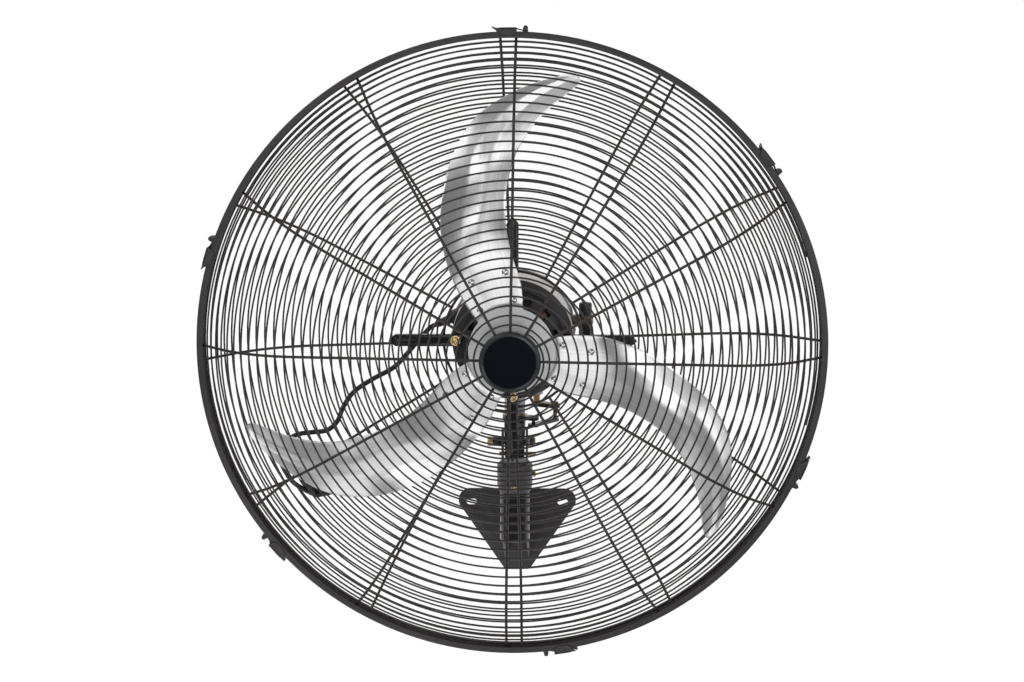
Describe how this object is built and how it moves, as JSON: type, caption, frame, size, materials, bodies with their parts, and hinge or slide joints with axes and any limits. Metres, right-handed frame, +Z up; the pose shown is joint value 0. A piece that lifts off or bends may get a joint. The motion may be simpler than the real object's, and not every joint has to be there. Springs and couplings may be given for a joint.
{
  "type": "oscillating wall fan",
  "caption": "Wall fan with a round wire guard, swept metal blades, an open motor and a tilting, oscillating head on a sloping bracket arm.",
  "frame": {"origin": "middle of the wall plate's back face", "axes": "+Y into the wall, +Z up, the fan blows towards -Y"},
  "size_m": [0.8, 0.4635, 0.8173],
  "materials": {
    "charcoal_coat": "satin powder coat, charcoal",
    "yellow_zinc": "yellow zinc plating",
    "bare_steel": "bare or plain plated steel",
    "bronze": "sintered bronze",
    "cast_aluminium": "as cast",
    "black_powder_coat": "satin powder coat, near black",
    "gloss_black": "gloss black paint",
    "black_plastic": "moulded, fine texture",
    "core_steel": "stacked laminations",
    "enamelled_copper": "red enamel over copper wire",
    "brushed_aluminium": "brushed along the blade",
    "cord_rubber": "matt black sheath"
  },
  "bodies": {
    "bracket": {"wall_plate": "charcoal_coat", "bracket_arm": "charcoal_coat", "post_tube": "charcoal_coat", "clamp_sleeve": "charcoal_coat", "clamp_screw_front": "yellow_zinc", "clamp_screw_side": "yellow_zinc", "tilt_bolt": "yellow_zinc", "tilt_spacer": "gloss_black", "tilt_washer": "bare_steel", "tilt_nut": "yellow_zinc"},
    "neck": {"neck_block": "charcoal_coat", "tilt_stop_screw": "yellow_zinc", "thrust_washer": "bronze"},
    "head": {"gearbox_case": "cast_aluminium", "gearbox_cover": "cast_aluminium", "motor_front_shield": "charcoal_coat", "motor_shell": "bare_steel", "motor_rear_shield": "cast_aluminium", "stator_core": "core_steel", "winding_front": "enamelled_copper", "winding_rear": "enamelled_copper", "bearing_front": "bare_steel", "bearing_rear": "bare_steel", "guard_arm_top": "gloss_black", "guard_arm_right": "gloss_black", "guard_arm_bottom": "gloss_black", "guard_arm_left": "gloss_black", "rim_band": "black_powder_coat", "front_guard_spokes": "black_powder_coat", "front_guard_face_wire": "black_powder_coat", "front_guard_shoulder_wire": "black_powder_coat", "rear_guard_spokes": "black_powder_coat", "rear_guard_face_wire": "black_powder_coat", "rear_guard_shoulder_wire": "black_powder_coat", "front_cap": "black_plastic", "run_capacitor": "black_plastic", "capacitor_strap": "bare_steel", "cable_gland": "black_plastic", "supply_cord": "cord_rubber", "cord_hank": "cord_rubber", "cord_tie": "gloss_black", "mains_plug": "black_plastic"},
    "rotor": {"rotor_shaft": "bare_steel", "rotor_core": "core_steel", "hub_spider": "brushed_aluminium", "blade_1": "brushed_aluminium", "blade_2": "brushed_aluminium", "blade_3": "brushed_aluminium", "hub_nut": "bare_steel"},
    "crank": {"worm_wheel": "bronze", "crank_arm": "bare_steel"},
    "link": {"link_bar": "black_powder_coat"},
    "knob": {"clutch_knob": "black_plastic"},
    "clip_1": {"latch_clip_1": "black_powder_coat"},
    "clip_2": {"latch_clip_2": "black_powder_coat"},
    "clip_3": {"latch_clip_3": "black_powder_coat"},
    "clip_4": {"latch_clip_4": "black_powder_coat"},
    "clip_5": {"latch_clip_5": "black_powder_coat"},
    "clip_6": {"latch_clip_6": "black_powder_coat"}
  },
  "joints": [
    {"name": "tilt", "type": "hinge", "parent": "bracket", "child": "neck", "pos_m": [0, -0.17, 0.176], "axis": [1, 0, 0], "range_deg": [-5, 25]},
    {"name": "oscillate", "type": "hinge", "parent": "neck", "child": "head", "pos_m": [0, -0.17, 0.345], "axis": [0, 0, 1], "range_deg": [-45, 45]},
    {"name": "blade_spin", "type": "hinge", "parent": "head", "child": "rotor", "pos_m": [0, -0.385, 0.345], "axis": [0, 1, 0], "continuous": true},
    {"name": "crank_turn", "type": "hinge", "parent": "head", "child": "crank", "pos_m": [0.0302, -0.1337, 0.345], "axis": [0, 0, 1], "range_deg": [-45.5, 45.5]},
    {"name": "link_swing", "type": "hinge", "parent": "crank", "child": "link", "pos_m": [0.0565, -0.1471, 0.345], "axis": [0, 0, 1], "range_deg": [-45.5, 45.5]},
    {"name": "clutch_pull", "type": "slide", "parent": "head", "child": "knob", "axis": [0, 0, 1], "range_m": [-0.005, 0]},
    {"name": "clip_1_open", "type": "hinge", "parent": "head", "child": "clip_1", "pos_m": [0.01765, -0.385, 0.74931], "axis": [0, 1, 0], "range_deg": [0, 100]},
    {"name": "clip_2_open", "type": "hinge", "parent": "head", "child": "clip_2", "pos_m": [0.33352, -0.385, 0.57422], "axis": [0, 1, 0], "range_deg": [0, 100]},
    {"name": "clip_3_open", "type": "hinge", "parent": "head", "child": "clip_3", "pos_m": [0.36528, -0.385, 0.17077], "axis": [0, 1, 0], "range_deg": [0, 100]},
    {"name": "clip_4_open", "type": "hinge", "parent": "head", "child": "clip_4", "pos_m": [0.04581, -0.385, -0.0571], "axis": [0, 1, 0], "range_deg": [0, 100]},
    {"name": "clip_5_open", "type": "hinge", "parent": "head", "child": "clip_5", "pos_m": [-0.32107, -0.385, 0.09863], "axis": [0, 1, 0], "range_deg": [0, 100]},
    {"name": "clip_6_open", "type": "hinge", "parent": "head", "child": "clip_6", "pos_m": [-0.37857, -0.385, 0.48805], "axis": [0, 1, 0], "range_deg": [0, 100]}
  ],
  "couplings": [
    {"joint": "crank_turn", "follows": "oscillate", "ratio": -1},
    {"joint": "link_swing", "follows": "oscillate", "ratio": 1}
  ]
}
